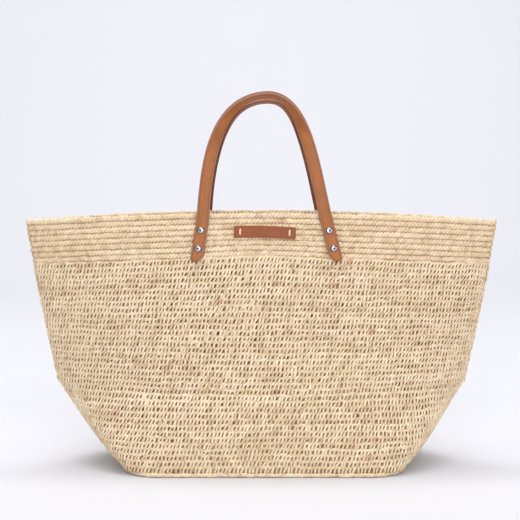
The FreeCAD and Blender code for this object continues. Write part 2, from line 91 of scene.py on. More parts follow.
BAND_ROUNDS = 8
BAND_ROUNDS_IN_A_PIECE = 2
OPEN_ROUNDS = 36
ROUNDS_IN_A_PIECE = 4
STITCH = 0.00475
BAND_STITCH = 0.00460
BASE_ROUND_PITCH = 0.0070
BASE_ROUNDS = 13
TURNING_OUTSET = 0.0086
TURNING_HEIGHT = 0.0029
# Stations along each stitch, and the share of the pitch by which a round's loops sit below its line.
OPEN_STATIONS = 5
BAND_STATIONS = 6
ROUND_DROP = 0.22
# How full the lobe of each stitch is along its rope: the lower, the fuller.
LOBE_POWER = 0.55
# How far the rounds wander, and how much their stitches and legs differ.
WANDER = 0.00035
JOG = 0.06
LIFT = 0.0032
PRESS = 0.0034
LEG_JOG = 0.07
LEG_PRESS = 0.0003
LEG_WIDEST = 1.45
STRAND_RUN = (9, 42)
STRAND_TINT = 0.09
STITCH_TINT = 0.13
# First seeds of the random draws; each round adds its own number.
OPEN_SEED = 1000
BAND_SEED = 2000
BASE_SEED = 3000
TURNING_SEED = 3100

# ---- leather ----

STRAP_WIDTH = 0.016
STRAP_THICKNESS = 0.0048
STRAP_GAP = 0.0004
STRAP_END = 0.050
FOLD_LINE = frame["joints"][0]["pos_m"][2]
BACK_FOLD_LINE = frame["joints"][1]["pos_m"][2]
FOLD_AXIS_Y = frame["joints"][0]["pos_m"][1]
SPAN = {"left": 0.0735, "right": 0.0814}
TILT = {"left": math.radians(8.5), "right": math.radians(14.0)}
LEAN = {"left": math.radians(5.5), "right": math.radians(13.0)}
LEG_REACH = {"left": 0.0416, "right": 0.0682}
CROWN_REACH = {"left": 0.0779, "right": 0.0450}
CROWN_RISE = 0.1583
CROWN_SHIFT = 0.0092
BOW_LEAN = math.radians(9.0)
TWIST_START = 0.3
TWIST_END = 0.95
FRONT_TWIST = math.radians(77)
BACK_TWIST = math.radians(90)
# A strap end's stations stop this far below its fold, which keeps the curve smooth.
FOLD_SOFTNESS = 0.004
STATION_STEP = 0.0016
SIGN = {"left": -1, "right": 1}

# ---- label and rivets ----

LABEL_LENGTH = 0.077
LABEL_WIDTH = 0.015
LABEL_THICKNESS = 0.0016
LABEL_GAP = 0.0003
LABEL_HEIGHT = 0.298
LABEL_SHIFT = 0.0042
LABEL_TILT = math.radians(1.5)
LABEL_BOW = 0.0010
THREAD_PLACE = 0.0307
THREAD_LENGTH = 0.0068
THREAD_RISE = 0.0019
THREAD_SINK = 0.0012
PLY_RADIUS = 0.00036
PLY_HALF_WIDTH = 0.00085
PLY_HALF_DEPTH = 0.00060
CAP_RADIUS = 0.0045
CAP_HEIGHT = 0.0024
RIVET_TOP = 0.0106
RIVET_PITCH = 0.023
CAP_SINK = 0.0003

# ---- colours ----

STRAW_DARK = (0.610, 0.446, 0.272)
STRAW = (0.808, 0.642, 0.438)
STRAW_PALE = (0.905, 0.760, 0.562)
STRAW_PINK = (0.640, 0.420, 0.265)
# The multiplier that turns the straw into painted shade.
STRAW_SHADED = (0.56, 0.44, 0.32)
FLOOR_LOW = (0.652, 0.652, 0.684)
FLOOR_HIGH = (0.682, 0.682, 0.714)
SURROUND = (0.850, 0.852, 0.895)
COGNAC = (0.352, 0.118, 0.031)
COGNAC_EDGE = (0.325, 0.138, 0.076)
LABEL_BROWN = (0.250, 0.066, 0.017)
LABEL_EDGE = (0.330, 0.112, 0.040)


def half_width(z):
    """Half the basket's width at height z."""
    low = (z - FOOT) / (FLARE_HEIGHT - FOOT)
    high = (z - FLARE_HEIGHT) / (RIM_END - FLARE_HEIGHT)
    below = FOOT_HALF_WIDTH * (1 - low) + FLARE_HALF_WIDTH * low + 4 * FLARE_BULGE * low * (1 - low)
    above = FLARE_HALF_WIDTH * (1 - high) + RIM_REACH * high + 4 * SIDE_BULGE * high * (1 - high)
    return np.where(low < 1, below, above)


def half_depth(z):
    """Half the basket's depth at height z."""
    share = z / RIM_TOP
    return FOOT_HALF_DEPTH * (1 - share) + RIM_HALF_DEPTH * share + 4 * BELLY * share * (1 - share)


def powers(z):
    """Exponents of the outline at height z: nearly a rounded rectangle at the foot, a lens above."""
    ease = (1 - np.clip((z - FOOT) / (FLARE_HEIGHT - FOOT), 0, 1)) ** 2
    return [m + (b - m) * ease for m, b in zip(MOUTH_POWERS, BASE_POWERS)]


def droop(height):
    """How far the round that is at this height in the middle droops to the rim's ends."""
    return RIM_DROOP * np.clip((height - FOOT) / (RIM_TOP - BAND_HEIGHT - FOOT), 0, 1)


def outline_reach(cosine, sine, power_x, power_y):
    """How far the outline lies from its middle in each direction, found by Newton's method."""
    outside, steps = 1.6, 10
    reach = np.full_like(cosine, outside)
    for _ in range(steps):
        part_x = np.abs(reach * cosine) ** power_x
        part_y = np.abs(reach * sine) ** power_y
        reach = reach - reach * (part_x + part_y - 1) / (power_x * part_x + power_y * part_y)
    return reach


def wall_point(turn, height):
    """Points of the wall's outer face, in the direction turn, on the round of this height."""
    cosine, sine = np.cos(turn), np.sin(turn)
    z = np.full_like(turn, height)
    for _ in range(3):
        reach = outline_reach(cosine, sine, *powers(z))
        x = (half_width(z) + END_FULLNESS) * reach * cosine
        z = height - droop(height) * (x / RIM_REACH) ** 2
    x = x + BASE_SHIFT * np.clip(1 - z / SHIFT_HEIGHT, 0, 1)
    z = z + ARCH_RISE * np.exp(-((x / ARCH_REACH) ** 2) - ((height - ARCH_HEIGHT) / ARCH_SPREAD) ** 2)
    return np.stack([x, half_depth(z) * reach * sine, z], -1)


def base_point(turn, inset):
    """Points of the base's outline, inset by this much; a negative inset lies outside it."""
    share = max(0.0, 1 - inset / BASE_HALF_DEPTH)
    half_x, half_y = BASE_HALF_WIDTH - inset, BASE_HALF_DEPTH - inset
    corner = max(BASE_CORNER - inset, BASE_CORNER * share)
    ray = np.stack([np.cos(turn), np.sin(turn)], -1)
    reach = np.full_like(turn, half_x + half_y)
    steps, stride = 40, 0.7
    for _ in range(steps):
        point = ray * reach[:, None]
        beyond = np.maximum(np.abs(point) - np.array([half_x - corner, half_y - corner]), 0)
        reach = reach - (np.linalg.norm(beyond, axis=1) - corner) * stride
    points = np.concatenate([ray * reach[:, None], np.zeros((len(turn), 1))], axis=1)
    return points + np.array([BASE_SHIFT, 0, 0])


def unit(vectors):
    """The vectors scaled to a length of 1."""
    return vectors / np.linalg.norm(vectors, axis=-1, keepdims=True)


def patches(turn, height, seed, finest=17):
    """Smooth random patches over the wall, about 0 with a spread of about 1. finest is the largest
    number of patches round the basket."""
    draw = np.random.default_rng(seed)
    waves, spread_of_sum = 9, 2.1
    total = np.zeros_like(turn)
    for _ in range(waves):
        around = draw.integers(finest // 8, finest)
        climb = 10 * draw.uniform(-finest, finest)
        phase = draw.uniform(0, 6.28)
        total += np.sin(around * turn + climb * height + phase)
    return total / spread_of_sum


def lengths(points):
    """The distance of each point from the first one, along the points."""
    return np.concatenate([[0], np.cumsum(np.linalg.norm(np.diff(points, axis=0), axis=1))])


# ---- meshes ----

# The corners of a quad between two rings, as (ring, side).
QUAD_CORNERS = ((0, 0), (0, 1), (1, 1), (1, 0))


def tube_quads(rings, sides):
    """Quads between the rings of one tube whose points run ring after ring."""
    r, s = np.meshgrid(np.arange(rings - 1), np.arange(sides), indexing="ij")
    corners = [(r + ring) * sides + (s + side) % sides for ring, side in QUAD_CORNERS]
    return np.stack(corners, -1).reshape(-1, 4)


def mesh_object(name, points, polygons, uvs=None, vectors=None):
    """A smooth-shaded mesh object. polygons is a list of index arrays, one for each corner count."""
    mesh = bpy.data.meshes.new(name)
    mesh.vertices.add(len(points))
    mesh.vertices.foreach_set("co", np.asarray(points, np.float32).ravel())
    corners = np.concatenate([p.ravel() for p in polygons])
    mesh.loops.add(len(corners))
    mesh.loops.foreach_set("vertex_index", corners.astype(np.int32))
    counts = np.concatenate([np.full(len(p), p.shape[1]) for p in polygons])
    mesh.polygons.add(len(counts))
    starts = np.concatenate([[0], np.cumsum(counts)[:-1]])
    mesh.polygons.foreach_set("loop_start", starts.astype(np.int32))
    mesh.polygons.foreach_set("use_smooth", np.ones(len(counts), bool))
    if uvs is not None:
        layer = mesh.uv_layers.new(name="OFBake")
        layer.data.foreach_set("uv", np.asarray(uvs, np.float32).ravel())
    for key, values in (vectors or {}).items():
        attribute = mesh.attributes.new(key, "FLOAT_VECTOR", "POINT")
        attribute.data.foreach_set("vector", np.asarray(values, np.float32).ravel())
    mesh.update(calc_edges=True)
    obj = bpy.data.objects.new(name, mesh)
    bpy.context.scene.collection.objects.link(obj)
    return obj


class Strands:
    """Collects tubes of raffia and joins them into one mesh with attributes for its fibre and for its tint,
    blush and painted shade.
    """

    def __init__(self, name, strips):
        """strips is the number of add calls to come, each of which gets its strip of the map."""
        self.name = name
        self.strips = strips
        self.strip = 0
        self.count = 0
        self.points, self.fibre, self.dye = [], [], []
        self.quads, self.quad_uvs = [], []
        self.caps, self.cap_uvs = [], []

    def add(self, centres, across, outward, dye, sides, closed, swell=None):
        """Tubes along the second axis of centres (tubes, rings, 3). across and outward are the half-axes
        of each ring's oval, swell multiplies its radius (tubes, rings, sides), and the tint, blush and
        painted shade are (tubes, rings, sides or 1, 3)."""
        tubes, rings = centres.shape[:2]
        angle = np.arange(sides) * 2 * np.pi / sides
        cosine, sine = np.cos(angle)[:, None], np.sin(angle)[:, None]
        offset = across[:, :, None] * cosine + outward[:, :, None] * sine
        if swell is not None:
            offset = offset * swell[..., None]
        self.points.append((centres[:, :, None] + offset).reshape(-1, 3))
        step = np.linalg.norm(np.diff(centres, axis=1, prepend=centres[:, :1]), axis=-1)
        along = np.cumsum(step, axis=1) + np.arange(tubes)[:, None] * 0.37 + self.strip * 1.7
        round_x, round_y, length = np.cos(angle) / 2, np.sin(angle) / 2, along[:, :, None]
        fibre = np.stack(np.broadcast_arrays(round_x, round_y, length), -1)
        self.fibre.append(fibre.reshape(-1, 3))
        self.dye.append(np.broadcast_to(dye, fibre.shape).reshape(-1, 3))
        self.faces(tubes, rings, sides, closed)
        self.count += tubes * rings * sides

    def faces(self, tubes, rings, sides, closed):
        """Quads between the rings, caps on open ends, and their places in this strip of the map."""
        spans = rings if closed else rings - 1
        t, r, s = np.meshgrid(np.arange(tubes), np.arange(spans), np.arange(sides), indexing="ij")
        corners, places = [], []
        low, high = self.strip / self.strips, (self.strip + 0.96) / self.strips
        for ring, side in QUAD_CORNERS:
            corners.append(self.count + (t * rings + (r + ring) % rings) * sides + (s + side) % sides)
            long_way, short_way = (r + ring) / spans, (s + side) / sides
            if closed:
                u, v = long_way, short_way
            else:
                u, v = (t + 0.94 * short_way) / tubes, long_way
            places.append(np.stack([u, low + (high - low) * v], -1))
        self.quads.append(np.stack(corners, -1).reshape(-1, 4))
        self.quad_uvs.append(np.stack(places, -2).reshape(-1, 2))
        if not closed:
            first = self.count + np.arange(tubes)[:, None] * rings * sides + np.arange(sides)
            middle = (np.arange(tubes)[:, None] + 0.5) / tubes
            for start, v in ((first[:, ::-1], low), (first + (rings - 1) * sides, high)):
                self.caps.append(start)
                flat = np.stack([np.broadcast_to(middle, start.shape), np.full(start.shape, v)], -1)
                self.cap_uvs.append((start.shape[1], flat.reshape(-1, 2)))
        self.strip += 1

    def build(self):
        """The mesh object of all tubes added so far."""
        by_sides = {}
        for cap, (sides, uvs) in zip(self.caps, self.cap_uvs):
            by_sides.setdefault(sides, []).append((cap, uvs))
        polygons = [np.concatenate(self.quads)]
        uvs = [np.concatenate(self.quad_uvs)]
        for group in by_sides.values():
            polygons.append(np.concatenate([cap for cap, _ in group]))
            uvs.append(np.concatenate([uv for _, uv in group]))
        vectors = {"fibre": np.concatenate(self.fibre), "dye": np.concatenate(self.dye)}
        return mesh_object(self.name, np.concatenate(self.points), polygons, np.concatenate(uvs), vectors)


# ---- rounds of crochet ----


def round_turns(point_at, stitch, per_stitch):
    """Outline angles that divide a round into whole stitches of even length, per_stitch to each."""
    samples = 3001
    dense = np.linspace(0, 2 * np.pi, samples)
    length = lengths(point_at(dense))
    stitches = int(round(length[-1] / stitch))
    stations = np.arange(stitches * per_stitch) / (stitches * per_stitch) * length[-1]
    return np.interp(stations, length, dense), stitches


def wall_axes(turn, height):
    """Points on the wall with unit vectors along the round, up the wall and out of it."""
    step = 0.0004
    points = wall_point(turn, height)
    along = unit(wall_point(turn + step, height) - wall_point(turn - step, height))
    up = wall_point(turn, height + step) - wall_point(turn, height - step)
    up = unit(up - along * np.sum(up * along, axis=-1, keepdims=True))
    return points, along, up, np.cross(along, up)


def strand_dye(turn, height, stitches, draw):
    """Tint and blush of each stitch: every raffia strand makes a run of stitches of one tint, and a
    few patches of the wall blush."""
    tint = np.empty(0)
    while len(tint) < stitches:
        run = draw.integers(*STRAND_RUN)
        tint = np.append(tint, np.full(run, draw.normal(0.5, STRAND_TINT)))
    tint = np.clip(tint[:stitches] + draw.normal(0, STITCH_TINT, stitches), 0, 1)
    first_turns = turn[:: len(turn) // stitches]
    blush = np.clip((patches(first_turns, height, seed=31, finest=64) - 1.5) * 0.8, 0, 1)
    return np.stack([tint, blush], -1)


def wandered(axes, turn, height):
    """The axes of a round that wanders a little up and down, as hand work does."""
    points, along, up, out = axes
    return points + up * (WANDER * patches(turn, height, seed=51))[:, None], along, up, out


def spread(values, per_stitch):
    """One value for each stitch, eased round the loop to per_stitch stations each."""
    count = len(values) * per_stitch
    place = np.arange(count) / per_stitch - 0.5
    index = np.floor(place).astype(int)
    share = place - index
    share = share * share * (3 - 2 * share)
    return values[index % len(values)] * (1 - share) + values[(index + 1) % len(values)] * share


def ridge(strands, axes, stitches, per_stitch, dye, draw, shape):
    """One round of loops as a continuous rope: lobes with slanted valleys between the stitches.
    shape names the half height, half depth, valley depth, slant and unevenness of the rope, and how
    much painted shade darkens its colour, all over and in its valleys."""
    points, _, up, out = axes
    sides = shape["sides"]
    angle = np.arange(sides) * 2 * np.pi / sides
    station = np.arange(stitches * per_stitch) / per_stitch
    uneven = shape["uneven"]
    jog = spread(draw.normal(0, JOG, stitches), per_stitch)
    phase = station[:, None] + jog[:, None] - shape["slant"] * np.cos(angle)
    lobe = np.abs(np.sin(np.pi * phase)) ** LOBE_POWER
    girth = spread(draw.normal(1, uneven, stitches), per_stitch)
    swell = (1 - shape["valley"] * (1 - lobe)) * girth[:, None]
    lift = spread(draw.normal(0, uneven * LIFT, stitches), per_stitch)
    press = spread(np.abs(draw.normal(0, uneven * PRESS, stitches)), per_stitch)
    depth = shape["half_depth"]
    centres = points - out * (depth + shape["inset"] + press)[:, None] + up * lift[:, None]
    colours = np.empty((1, len(station), sides, 3))
    colours[..., :2] = np.repeat(dye, per_stitch, axis=0)[:, None]
    # Painted shade: the rope's own shade, deepened in the valleys between its lobes.
    colours[..., 2] = np.clip(shape["shade"] + shape["dusk"] * (1 - lobe), 0, 1)
    strands.add(centres[None], (up * shape["half_height"])[None], (out * depth)[None], colours,
                sides, True, swell[None])


# Ropes: the open rounds' chains, the band's stitches, the layer behind these, the turning round and
# the base. Their last two numbers are painted shade, all over and in the valleys between stitches.
CHAIN = dict(half_height=0.00225, half_depth=0.00165, valley=0.32, slant=0.42,
             uneven=0.12, inset=0.0002, sides=8, shade=0.0, dusk=0.5)
DENSE = dict(half_height=0.00375, half_depth=0.00240, valley=0.52, slant=0.42,
             uneven=0.08, inset=0.0000, sides=10, shade=0.0, dusk=0.9)
# A layer behind the band's stitches, painted in full shade.
FILLING = dict(half_height=0.00330, half_depth=0.00090, valley=0.10, slant=0.20,
               uneven=0.05, inset=0.0028, sides=6, shade=1.0, dusk=0.0)
TURNING = dict(half_height=0.00290, half_depth=0.00300, valley=0.34, slant=0.40,
               uneven=0.08, inset=0.0002, sides=10, shade=0.0, dusk=0.6)
FLAT = dict(half_height=0.00365, half_depth=0.00230, valley=0.34, slant=0.35,
            uneven=0.05, inset=0.0002, sides=8, shade=0.0, dusk=0.6)


def posts(strands, low_height, high_height, dye, draw, layer):
    """The legs of one open round's stitches, from the round below up to their own loops.
    layer names the slant, half width, half depth, inset and painted shade of the legs, how far their
    places are offset within the stitch, how much the legs differ, and their profile from end to end."""
    turn, stitches = round_turns(lambda t: wall_point(t, high_height), STITCH, 1)
    turn = turn + 2 * np.pi / stitches * (layer["offset"] + draw.normal(0, LEG_JOG, stitches))
    high, along, up, out = wall_axes(turn, high_height)
    climb = np.sum((high - wall_point(turn, low_height)) * up, axis=-1, keepdims=True)
    low = high - up * climb
    tight = patches(turn, high_height, layer["seed"], layer["finest"])
    slant = draw.normal(layer["slant"], layer["slant_spread"], stitches)
    width = draw.normal(1, layer["width_spread"], stitches) + layer["tightness"] * tight
    width = layer["half_width"] * np.clip(width, layer["thinnest"], LEG_WIDEST)
    inset = layer["inset"] + np.abs(draw.normal(0, LEG_PRESS, stitches))
    rings = len(layer["profile"])
    share = np.linspace(0, 1, rings)[None, :, None]
    length = np.linalg.norm(high - low, axis=-1)
    lean = (share - 0.5) * (length * np.tan(slant))[:, None, None]
    centres = low[:, None] * (1 - share) + high[:, None] * share + along[:, None] * lean
    centres = centres - out[:, None] * inset[:, None, None]
    profile = np.array(layer["profile"])[None, :, None]
    across = along[:, None] * width[:, None, None] * profile
    outward = out[:, None] * layer["half_depth"] * profile
    # Each leg's tint and blush, with its layer's painted shade.
    colours = np.concatenate([dye, np.full((stitches, 1), layer["shade"])], axis=1)
    colours = np.repeat(colours[:, None, None], rings, axis=1)
    strands.add(centres, across, -outward, colours, layer["sides"], False)


# The legs in sight, and a second layer behind them, painted in shade.
FRONT_LEGS = dict(offset=0.0, seed=11, finest=24, slant=0.30, slant_spread=0.11,
                  half_width=0.00168, width_spread=0.10, tightness=0.06, thinnest=0.75,
                  inset=0.00115, half_depth=0.00115, shade=0.0, sides=6,
                  profile=(0.9, 1.0, 0.94, 1.0, 0.9))
BACK_LEGS = dict(offset=0.5, seed=23, finest=64, slant=0.10, slant_spread=0.13,
                 half_width=0.00205, width_spread=0.24, tightness=0.20, thinnest=0.34,
                 inset=0.00390, half_depth=0.00085, shade=1.0, sides=5,
                 profile=(0.9, 1.0, 1.0, 0.9))


def open_rounds():
    """The open-worked body. Each round has a chain and two layers of legs."""
    top = RIM_TOP - BAND_HEIGHT
    pitch = (top - FOOT) / OPEN_ROUNDS
    for first in range(0, OPEN_ROUNDS, ROUNDS_IN_A_PIECE):
        strands = Strands(f"raffia_rounds_{first // ROUNDS_IN_A_PIECE + 1:02d}", 3 * ROUNDS_IN_A_PIECE)
        for row in range(first, first + ROUNDS_IN_A_PIECE):
            draw = np.random.default_rng(OPEN_SEED + row)
            low = FOOT + pitch * (row - ROUND_DROP)
            high = low + pitch
            turn, stitches = round_turns(lambda t: wall_point(t, high), STITCH, OPEN_STATIONS)
            dye = strand_dye(turn, high, stitches, draw)
            axes = wandered(wall_axes(turn, high), turn, high)
            ridge(strands, axes, stitches, OPEN_STATIONS, dye, draw, CHAIN)
            posts(strands, low, high, dye, draw, FRONT_LEGS)
            posts(strands, low, high, dye, draw, BACK_LEGS)
        finish_piece(strands.build(), "raffia", "raffia", "raffia_body")


def band_rounds():
    """The dense rim band: rounds of fat slanted stitches, with a filling layer behind them that is painted
    in shade.
    """
    pitch = BAND_HEIGHT / BAND_ROUNDS
    for first in range(0, BAND_ROUNDS, BAND_ROUNDS_IN_A_PIECE):
        number = first // BAND_ROUNDS_IN_A_PIECE + 1
        strands = Strands(f"raffia_band_{number:02d}", 2 * BAND_ROUNDS_IN_A_PIECE)
        for row in range(first, first + BAND_ROUNDS_IN_A_PIECE):
            draw = np.random.default_rng(BAND_SEED + row)
            height = RIM_TOP - BAND_HEIGHT + pitch * (row + 0.5)
            turn, stitches = round_turns(lambda t: wall_point(t, height), BAND_STITCH, BAND_STATIONS)
            dye = strand_dye(turn, height, stitches, draw)
            ridge(strands, wall_axes(turn, height), stitches, BAND_STATIONS, dye, draw, DENSE)
            below = wall_axes(turn, height - pitch / 2)
            ridge(strands, below, stitches, BAND_STATIONS, dye, draw, FILLING)
        finish_piece(strands.build(), "raffia", "raffia", "rim_band")


def base_round(inset, height, per_stitch):
    """One round of the base: its turns, how many stitches it has, its points, and unit vectors along
    it and upright."""
    turn, stitches = round_turns(lambda t: base_point(t, inset), STITCH, per_stitch)
    points = base_point(turn, inset) + np.array([0, 0, height])
    along = unit(np.roll(points, -1, axis=0) - np.roll(points, 1, axis=0))
    upright = np.zeros_like(points)
    upright[:, 2] = 1
    return turn, stitches, points, along, upright


def base_rounds():
    """The base, worked flat in rounds: up is across each round, and out is down."""
    strands = Strands("raffia_base_rounds", BASE_ROUNDS + 1)
    for row in range(BASE_ROUNDS):
        draw = np.random.default_rng(BASE_SEED + row)
        inset = BASE_ROUND_PITCH * (row + 0.4)
        turn, stitches, points, along, upright = base_round(inset, 0.0, OPEN_STATIONS)
        axes = points, along, np.cross(-upright, along), -upright
        dye = strand_dye(turn, inset, stitches, draw)
        ridge(strands, axes, stitches, OPEN_STATIONS, dye, draw, FLAT)
    finish_piece(strands.build(), "raffia", "raffia", "raffia_base")


def turning_round():
    """The raised round at the edge of the base, where it turns up into the wall."""
    strands = Strands("raffia_turning_round", 1)
    draw = np.random.default_rng(TURNING_SEED)
    turn, stitches, points, along, upright = base_round(-TURNING_OUTSET, TURNING_HEIGHT, BAND_STATIONS)
    axes = points, along, upright, np.cross(along, upright)
    dye = strand_dye(turn, 0.0, stitches, draw)
    ridge(strands, axes, stitches, BAND_STATIONS, dye, draw, TURNING)
    finish_piece(strands.build(), "raffia", "raffia", "base_edge_round")


def finish_piece(piece, material, slot, *nodes, body="basket"):
    """Gives a new piece its material, hides the CAD nodes it stands for and attaches it to its body; slot is
    not used.
    """
    piece.data.materials.append(MATERIALS[material])
    if nodes:
        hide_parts(*nodes)
    if body:
        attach(piece, body)


# ---- leather pieces ----


def front_point(x, z):
    """The point of the front wall's outer face at x and z."""
    power_x, power_y = powers(z)
    share = 1 - abs(x / half_width(z)) ** power_x
    return np.array([x, -float(half_depth(z)) * float(share) ** (1 / float(power_y)), z])


def wall_frame(x, z, tilt):
    """Origin and unit vectors across, into and up the front wall, turned by tilt about the second."""
    step = 0.0005
    across = front_point(x + step, z) - front_point(x - step, z)
    up = front_point(x, z + step) - front_point(x, z - step)
    inward = unit(np.cross(up, across))
    up = unit(up)
    across = np.cross(inward, up)
    turned_across = across * math.cos(tilt) - up * math.sin(tilt)
    turned_up = across * math.sin(tilt) + up * math.cos(tilt)
    return front_point(x, z), turned_across, inward, turned_up


def strap_end_frame(side):
    """The wall's frame at the middle of a front strap end, turned to its tilt."""
    sign = SIGN[side]
    x = sign * (SPAN[side] + STRAP_END / 2 * math.tan(TILT[side]))
    return wall_frame(x, FOLD_LINE - STRAP_END / 2, -sign * TILT[side])


def back_offset():
    """From a front strap mirrored through the basket's middle plane to the back strap's place."""
    shift = FOLD_LINE - BACK_FOLD_LINE
    middle = FOLD_LINE - STRAP_END / 2
    return np.array([0, half_depth(middle - shift) - half_depth(middle), -shift])


def strap_end_stations(side):
    """Centre, width direction and outer direction of a strap end, from its tip up to the fold."""
    origin, across, inward, up = strap_end_frame(side)
    stations = []
    for height in np.linspace(-STRAP_END / 2, STRAP_END / 2 - FOLD_SOFTNESS, 24):
        centre = origin - inward * (STRAP_GAP + STRAP_THICKNESS / 2) + up * height
        stations.append((centre, SIGN[side] * across, -inward))
    return stations


def in_bow_plane(x, rise):
    """The point of the front bow's leaning plane at x, this far above the fold line."""
    mid_y = FOLD_AXIS_Y + STRAP_THICKNESS / 2
    return np.array([x, mid_y + rise * math.tan(BOW_LEAN), FOLD_LINE + rise])


def bow_stations(side, full_twist):
    """The same for a bow's leg, from just above the fold to its crown, where it is fully twisted."""
    sign = SIGN[side]
    knots = np.array([
        [sign * SPAN[side], 0.0],
        [sign * (SPAN[side] - LEG_REACH[side] * math.sin(LEAN[side])),
         LEG_REACH[side] * math.cos(LEAN[side])],
        [CROWN_SHIFT + sign * CROWN_REACH[side], CROWN_RISE],
        [CROWN_SHIFT, CROWN_RISE],
    ])
    plane_up = unit(np.array([0.0, math.tan(BOW_LEAN), 1.0]))
    forward = np.array([0.0, -math.cos(BOW_LEAN), math.sin(BOW_LEAN)])
    stations = []
    for share in np.linspace(0.02, 1, 90):
        rest = 1 - share
        weights = np.array([rest**3, 3 * share * rest**2, 3 * share**2 * rest, share**3])
        slopes = np.array([-3 * rest**2, 3 * rest**2 - 6 * share * rest,
                           6 * share * rest - 3 * share**2, 3 * share**2])
        x, rise = weights @ knots
        run = unit(slopes @ knots)
        outward = np.array([run[1], 0, 0]) * sign - plane_up * run[0] * sign
        turn = min(1.0, max(0.0, (share - TWIST_START) / (TWIST_END - TWIST_START)))
        twist = full_twist * turn * turn * (3 - 2 * turn)
        width = outward * math.cos(twist) + forward * math.sin(twist)
        face = forward * math.cos(twist) - outward * math.sin(twist)
        stations.append((in_bow_plane(x, rise), width, face))
    return stations


def strap_section():
    """Outline of the strap's section as shares of half its width and half its thickness, with a
    pressed line beside each edge and a seam between its two layers."""
    shares = np.array([0, 0.22, 0.44, 0.6, 0.66, 0.70, 0.74, 0.80, 0.87])
    shares = np.concatenate([-shares[:0:-1], shares])
    crease = 0.16 * np.exp(-(((np.abs(shares) - 0.70) / 0.035) ** 2))
    face = np.stack([shares, 1 - 0.10 * shares**2 - crease], -1)
    bend = np.radians([68, 45, 24, 8, 0, -8, -24, -45, -68])
    seam = np.where(np.abs(bend) < 0.05, 0.035, 0.0)
    edge = np.stack([0.87 + 0.13 * np.cos(bend) - seam, 0.92 * np.sin(bend)], -1)
    half = np.concatenate([face, edge])
    return np.concatenate([half, -half])


def strap_path(full_twist):
    """Evenly spaced stations of the whole front strap, from the left tip to the right tip."""
    path = strap_end_stations("left") + bow_stations("left", full_twist)
    path += bow_stations("right", full_twist)[-2::-1] + strap_end_stations("right")[::-1]
    path = np.array(path)
    length = lengths(path[:, 0])
    even = np.linspace(0, length[-1], int(length[-1] / STATION_STEP))
    path = np.stack([np.stack([np.interp(even, length, path[:, i, j]) for j in range(3)], -1)
                     for i in range(3)], 1)
    smoothings = 6
    for _ in range(smoothings):
        path[1:-1] = (path[:-2] + 2 * path[1:-1] + path[2:]) / 4
    path[:, 1:] = unit(path[:, 1:])
    return path, even


def strap_tip(distance):
    """Shares of half the width on the outer and inner side, and of half the thickness, at a distance
    from the tip: the inner corner is cut, and all edges are rounded."""
    outer_corner, cut, inner_corner, edge = 0.003, 0.009, 0.002, 0.0012
    corner = np.clip(1 - distance / outer_corner, 0, 1)
    outer = 1 - 0.36 * (1 - np.sqrt(1 - corner**2))
    inner = np.minimum(1, 0.25 + 0.75 * distance / cut)
    inner = inner - 0.15 * np.clip(1 - distance / inner_corner, 0, 1) ** 2
    thick = np.sqrt(1 - np.clip(1 - distance / edge, 0, 0.95) ** 2)
    return outer, inner, thick


def build_strap(name, back):
    """One continuous two-layer leather strap with both riveted ends and its bow."""
    path, distance = strap_path(BACK_TWIST if back else FRONT_TWIST)
    if back:
        path = path[::-1]
        path[..., 1] *= -1
        path[:, 0] += back_offset()
    centre, width, face = path[:, 0], path[:, 1], path[:, 2]
    outline = strap_section()
    outer, inner, thick = strap_tip(np.minimum(distance, distance[-1] - distance))
    edge = np.where(outline[None, :, 0] > 0, outer[:, None], inner[:, None])
    w = outline[None, :, 0] * edge * STRAP_WIDTH / 2
    t = outline[None, :, 1] * thick[:, None] * STRAP_THICKNESS / 2
    points = centre[:, None] + width[:, None] * w[..., None] + face[:, None] * t[..., None]
    rings, sides = points.shape[:2]
    r, s = np.meshgrid(np.arange(rings - 1), np.arange(sides), indexing="ij")
    places = [np.stack([(r + ring) / (rings - 1), 0.9 * (s + side) / sides], -1)
              for ring, side in QUAD_CORNERS]
    caps = np.stack([np.arange(sides)[::-1], (rings - 1) * sides + np.arange(sides)])
    uvs = np.concatenate([np.stack(places, -2).reshape(-1, 2),
                          np.tile([0.5, 0.95], (2 * sides, 1))])
    hide = np.stack(np.broadcast_arrays(outline[:, 0], distance[:, None], outline[:, 1]), -1)
    return mesh_object(name, points.reshape(-1, 3), [tube_quads(rings, sides), caps], uvs,
                       {"hide": hide.reshape(-1, 3)})


def straps():
    """The front strap and the back one, each one mesh from tip to tip, attached to no body."""
    for face, body, line in (("front", "front_handle", FOLD_LINE), ("back", "back_handle", BACK_FOLD_LINE)):
        strap = build_strap(f"{face}_strap", face == "back")
        nodes = [f"{face}_strap_bow", f"{face}_left_strap_end", f"{face}_right_strap_end"]
        finish_piece(strap, "leather", "leather", *nodes, body=None)
        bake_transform(strap)


def label_point(u, v, lift):
    """A point over the label: u along it, v across it, lift above the wall."""
    x = LABEL_SHIFT + u * math.cos(LABEL_TILT) + v * math.sin(LABEL_TILT)
    z = LABEL_HEIGHT - u * math.sin(LABEL_TILT) + v * math.cos(LABEL_TILT)
    z -= LABEL_BOW * (u / (LABEL_LENGTH / 2)) ** 2
    point, _, inward, _ = wall_frame(x, z, 0.0)
    return point - inward * lift


